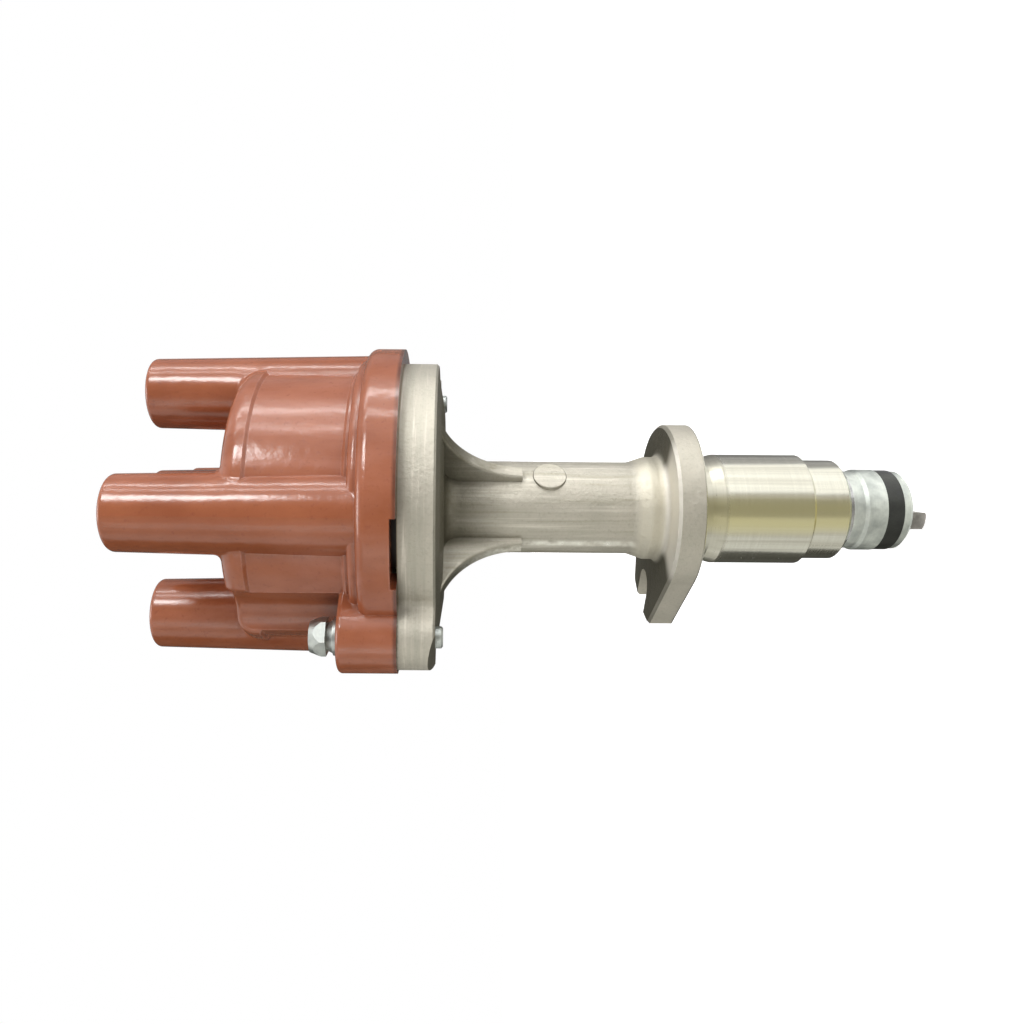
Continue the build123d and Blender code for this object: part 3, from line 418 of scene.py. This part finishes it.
def cast_aluminium():
    """Pressure-cast grain on the body, turned faces on the shank, seat and bore."""
    s = Shader("cast_aluminium")
    radius = s.radius()
    grain = s.noise(1500, 4, 0.65)
    blotch = s.noise(110, 6, 0.62)
    cast, parting, drawn_relief = cast_surface(s, radius, grain, blotch)
    rings = s.noise(22, 4, 0.6, s.stretched(1, 1, 220))
    streak = s.noise(330, 4, 0.6, s.stretched(1, 1, 0.012), 0.15)
    undercut = s.slab(*UNDERCUT, 0.0004)
    turned = turned_surface(s, rings, streak, undercut)

    inside = s.span(radius, BORE_EDGE, BORE_EDGE + 0.0004, 1.0, 0.0)
    machined = s.larger(s.larger(s.slab(*SHANK, 0.0001), s.slab(*SEAT, 0.0001)), inside)
    as_cast = s.beside(machined)
    cast_rough = s.plus(s.span(blotch, 0.3, 0.7, 0.54, 0.64), s.span(grain, 0.4, 0.8, 0, 0.08))
    cast_rough = s.times(cast_rough, s.span(parting, 0, 1, 1, 0.45))
    turned_rough = s.plus(s.span(rings, 0.2, 0.8, 0.15, 0.23),
                          s.span(streak, 0.4, 0.7, 0, 0.08))
    turned_rough = s.plus(turned_rough, s.times(undercut, 0.1))
    roughness = s.plus(s.times(machined, turned_rough), s.times(as_cast, cast_rough))
    s.bump(s.times(grain, as_cast), 0.00012)
    s.bump(s.times(s.cells(700), as_cast), 0.00005)
    s.bump(s.times(s.noise(160, 4, 0.6), as_cast), 0.0003)
    s.bump(drawn_relief, 0.00025)
    s.bump(s.times(rings, machined), 0.000003)
    return s.finish(s.mix(machined, cast, turned), roughness, Metallic=1.0)


def plated(name, dark, light, low, high, scale=300, bare_below=None):
    """Plated steel with fine turning lines and a cloudy passivate, bare below a height."""
    s = Shader(name)
    cloud = s.noise(scale, 5, 0.6)
    rings = s.noise(90, 3, 0.6, s.stretched(1, 1, 40))
    clouded = s.span(cloud, 0.3, 0.7)
    colour = s.mix(clouded, dark, light)
    colour = s.mix(s.span(rings, 0.55, 0.75, 0, 0.3), colour, dark)
    colour = s.mix(s.times(s.edge_wear(0.0003), 0.5), colour, light)
    if bare_below is not None:
        bare = s.span(s.axis_part("Z"), bare_below - 0.0001, bare_below, 1, 0)
        steel = s.mix(clouded, srgb(112, 109, 104), srgb(172, 168, 162))
        colour = s.mix(bare, colour, steel)
    roughness = s.plus(s.span(cloud, 0.3, 0.7, low, high), s.span(rings, 0.4, 0.8, 0, 0.06))
    s.bump(rings, 0.00002)
    s.bump(s.noise(1800, 3, 0.6), 0.00002)
    return s.finish(colour, roughness, Metallic=1.0)


def moulded(name, dark, light, low, high):
    """Plain moulding or rubber with a fine grain."""
    s = Shader(name)
    cloud = s.noise(140, 5, 0.6)
    grain = s.noise(1600, 3, 0.6)
    colour = s.mix(s.span(cloud, 0.3, 0.7), dark, light)
    colour = s.mix(s.span(grain, 0.55, 0.8, 0, 0.5), colour, light)
    roughness = s.plus(s.span(cloud, 0.3, 0.7, low, high), s.span(grain, 0.4, 0.8, 0, 0.08))
    s.bump(grain, 0.00005)
    return s.finish(colour, roughness, IOR=1.5)


def bronze():
    """Sintered bronze with dark pores and an oil sheen."""
    s = Shader("bush_bronze")
    pores = s.cells(2600)
    cloud = s.noise(200, 5, 0.6)
    colour = s.mix(s.span(cloud, 0.3, 0.7), srgb(150, 110, 62), srgb(184, 142, 88))
    colour = s.mix(s.span(pores, 0.12, 0.3, 0.8, 0.0), colour, srgb(70, 50, 30))
    s.bump(s.span(pores, 0.1, 0.3), 0.00003)
    return s.finish(colour, s.span(cloud, 0.3, 0.7, 0.3, 0.46), Metallic=1.0)


def spring_steel():
    """Bright drawn wire."""
    s = Shader("spring_steel")
    cloud = s.noise(900, 4, 0.6)
    colour = s.mix(s.span(cloud, 0.3, 0.7), srgb(120, 118, 116), srgb(178, 176, 172))
    s.bump(s.noise(4000, 3), 0.00001)
    return s.finish(colour, s.span(cloud, 0.3, 0.7, 0.22, 0.36), Metallic=1.0)


def ceramic():
    """Off-white ceramic with dark specks."""
    s = Shader("resistor_ceramic")
    cloud = s.noise(500, 5, 0.6)
    specks = s.cells(3000)
    colour = s.mix(s.span(cloud, 0.3, 0.7), srgb(206, 200, 184), srgb(226, 222, 210))
    colour = s.mix(s.span(specks, 0.08, 0.2, 0.6, 0.0), colour, srgb(120, 104, 84))
    s.bump(cloud, 0.00004)
    return s.finish(colour, s.span(cloud, 0.3, 0.7, 0.55, 0.7))


def make_materials():
    """The finished material of each slot in the record."""
    brass = (srgb(176, 140, 74), srgb(214, 182, 112))
    zinc = (srgb(160, 165, 164), srgb(206, 210, 204))
    steel = (srgb(150, 150, 150), srgb(200, 200, 198))
    sleeve = (srgb(168, 173, 168), srgb(222, 226, 218))
    return {
        "cap_moulding": cap_moulding(),
        "cast_aluminium": cast_aluminium(),
        "terminal_brass": plated("terminal_brass", *brass, 0.22, 0.34),
        "spring_steel": spring_steel(),
        "carbon": moulded("carbon", srgb(34, 34, 36), srgb(58, 58, 60), 0.4, 0.5),
        "zinc_plate": plated("zinc_plate", *zinc, 0.36, 0.5),
        "dark_moulding": moulded("dark_moulding", srgb(44, 34, 30), srgb(66, 52, 46), 0.3, 0.4),
        "bush_bronze": bronze(),
        "black_rubber": moulded("black_rubber", srgb(20, 20, 20), srgb(40, 40, 40), 0.5, 0.62),
        "ground_steel": plated("ground_steel", *steel, 0.16, 0.28),
        "resistor_ceramic": ceramic(),
        "coupling_zinc": plated("coupling_zinc", *sleeve, 0.46, 0.6, 220, TANG_TOP),
        "black_band": moulded("black_band", srgb(24, 25, 22), srgb(52, 54, 46), 0.3, 0.42),
    }


def dress_nodes(materials):
    """Gives every CAD node the finished material of its slot."""
    for entry in frame["record"]["subparts"]:
        piece = nodes[entry["node"]]
        piece.data.materials.clear()
        piece.data.materials.append(materials[entry["material_slot"]])


# ---------------------------------------------------------------------------
# Brush spring
# ---------------------------------------------------------------------------
def coil_mesh(name, low, high):
    """Round wire wound upwards in a box that it fills, with both ends closed."""
    coil = high[0] - WIRE_RADIUS
    start = low[2] + WIRE_RADIUS
    rise = high[2] - low[2] - 2 * WIRE_RADIUS
    slope = SPRING_PITCH / (2 * pi * coil)
    count = round(rise / SPRING_PITCH * COIL_STEPS)
    vertices = []
    for step in range(count + 1):
        turn = 2 * pi * rise / SPRING_PITCH * step / count
        out = Vector((cos(turn), sin(turn), 0))
        across = Vector((-sin(turn), cos(turn), slope)).normalized().cross(out)
        centre = coil * out + Vector((0, 0, start + rise * step / count))
        for side in range(WIRE_SIDES):
            angle = 2 * pi * side / WIRE_SIDES
            vertices.append(centre + WIRE_RADIUS * (cos(angle) * out + sin(angle) * across))
    faces = [tuple(range(WIRE_SIDES))]
    for step in range(count):
        first = WIRE_SIDES * step
        for side in range(WIRE_SIDES):
            here, beside = first + side, first + (side + 1) % WIRE_SIDES
            faces.append((here, here + WIRE_SIDES, beside + WIRE_SIDES, beside))
    faces.append(tuple(WIRE_SIDES * count + side for side in reversed(range(WIRE_SIDES))))
    mesh = bpy.data.meshes.new(name)
    mesh.from_pydata(vertices, [], faces)
    mesh.polygons.foreach_set("use_smooth", [len(face) == 4 for face in faces])
    return mesh


def make_spring(material):
    """Coil over the brush: it stands for the solid one."""
    low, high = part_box("brush_spring")
    mesh = coil_mesh("brush_spring_coil", low, high)
    mesh.materials.append(material)
    spring = bpy.data.objects.new("brush_spring_coil", mesh)
    bpy.context.scene.collection.objects.link(spring)
    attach(spring, "housing")
    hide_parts("brush_spring")
    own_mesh(spring)


# ---------------------------------------------------------------------------
# Floor, backdrop and light
# ---------------------------------------------------------------------------
def background_rays(tree):
    """1 for rays from the camera, in gloss and through glass, 0 for the light itself."""
    path = tree.nodes.new("ShaderNodeLightPath")
    rays = path.outputs["Is Camera Ray"]
    for name in ("Is Glossy Ray", "Is Transmission Ray"):
        either = tree.nodes.new("ShaderNodeMath")
        either.operation = "MAXIMUM"
        tree.links.new(rays, either.inputs[0])
        tree.links.new(path.outputs[name], either.inputs[1])
        rays = either.outputs[0]
    return rays


def make_world():
    """White behind the object, at a plain level as light."""
    world = bpy.data.worlds.new("studio")
    world.use_nodes = True
    bpy.context.scene.world = world
    tree = world.node_tree
    plain = tree.nodes["Background"]
    plain.inputs["Color"].default_value = (1, 1, 1, 1)
    strength = tree.nodes.new("ShaderNodeMapRange")
    strength.inputs["To Min"].default_value = WORLD_LIGHT
    strength.inputs["To Max"].default_value = 1
    tree.links.new(background_rays(tree), strength.inputs["Value"])
    tree.links.new(strength.outputs["Result"], plain.inputs["Strength"])


def make_floor():
    """White paper: its own shading, lifted so that it meets the white backdrop."""
    mesh = bpy.data.meshes.new("floor")
    half = FLOOR_HALF
    mesh.from_pydata([(-half, -half, 0), (half, -half, 0), (half, half, 0), (-half, half, 0)],
                     [], [(0, 1, 2, 3)])
    floor = bpy.data.objects.new("floor", mesh)
    floor.location.z = FLOOR_Z
    bpy.context.scene.collection.objects.link(floor)
    s = Shader("floor_paper")
    s.finish(s.mix(s.noise(6, 5), (0.86, 0.86, 0.86), (0.9, 0.9, 0.9)), 0.8)
    lift = s.times(background_rays(s.tree), FLOOR_LIFT)
    s.put(s.bsdf.inputs["Emission Color"], (1, 1, 1, 1))
    s.put(s.bsdf.inputs["Emission Strength"], lift)
    mesh.materials.append(s.material)


def around_axis(angle, reach, height):
    """Place at an angle from the viewer's side towards +X, round the shaft."""
    return Vector((reach * sin(radians(angle)), -reach * cos(radians(angle)), height))


def sheet(name, start, end, outline, tone):
    """Studio card that the gloss sees: an outline of reaches and heights, swept round."""
    count = len(outline)
    vertices = []
    for step in range(CARD_STEPS + 1):
        angle = start + (end - start) * step / CARD_STEPS
        vertices += [around_axis(angle, reach, height) for reach, height in outline]
    faces = []
    for step in range(CARD_STEPS):
        for side in range(count - 1):
            first = count * step + side
            faces.append((first, first + 1, first + count + 1, first + count))
    mesh = bpy.data.meshes.new(name)
    mesh.from_pydata(vertices, [], faces)
    card = bpy.data.objects.new(name, mesh)
    bpy.context.scene.collection.objects.link(card)
    s = Shader(name)
    s.put(s.bsdf.inputs["Emission Color"], tone + (1,))
    s.put(s.bsdf.inputs["Emission Strength"], 1)
    mesh.materials.append(s.finish((0, 0, 0, 1), 1))
    for kind in ("camera", "shadow", "transmission", "volume_scatter", "diffuse"):
        setattr(card, "visible_" + kind, False)
    return card


def make_cards():
    """Cards that lie on the floor and turn up at their far end, and two dark ones that stand
    by themselves and keep the light of their side away."""
    for name, start, end, near, far, top, tone in CARDS:
        outline = [(near, CARD_FOOT), (far, CARD_FOOT)]
        if top:
            outline.append((far, top))
        sheet(name, start, end, outline, tone)
    for name, foot, top, in_gloss in SHADES:
        shade = sheet(name, *SHADE_ANGLES, [(SHADE_REACH, foot), (SHADE_REACH, top)], SHADE_TONE)
        shade.visible_diffuse = True
        shade.visible_glossy = in_gloss


def make_lamps():
    """Soft boxes that look at the object."""
    for name, angle, distance, height, size, power, in_gloss in LAMPS:
        data = bpy.data.lights.new(name, "AREA")
        data.shape = "RECTANGLE"
        data.size, data.size_y = size
        data.energy = power
        lamp = bpy.data.objects.new(name, data)
        bpy.context.scene.collection.objects.link(lamp)
        lamp.location = around_axis(angle, distance, height)
        away = (lamp.location - LAMP_AIM).normalized()
        side = Vector((0, 0, 1)).cross(away).normalized()
        turned = Matrix((side, away.cross(side), away)).transposed()
        lamp.rotation_mode = "QUATERNION"
        lamp.rotation_quaternion = turned.to_quaternion()
        lamp.visible_glossy = in_gloss


bpy.context.scene.view_settings.view_transform = "Standard"
make_camera()
slots = make_materials()
dress_nodes(slots)
make_spring(slots["spring_steel"])
make_world()
make_floor()
make_cards()
make_lamps()

bpy.context.view_layer.update()
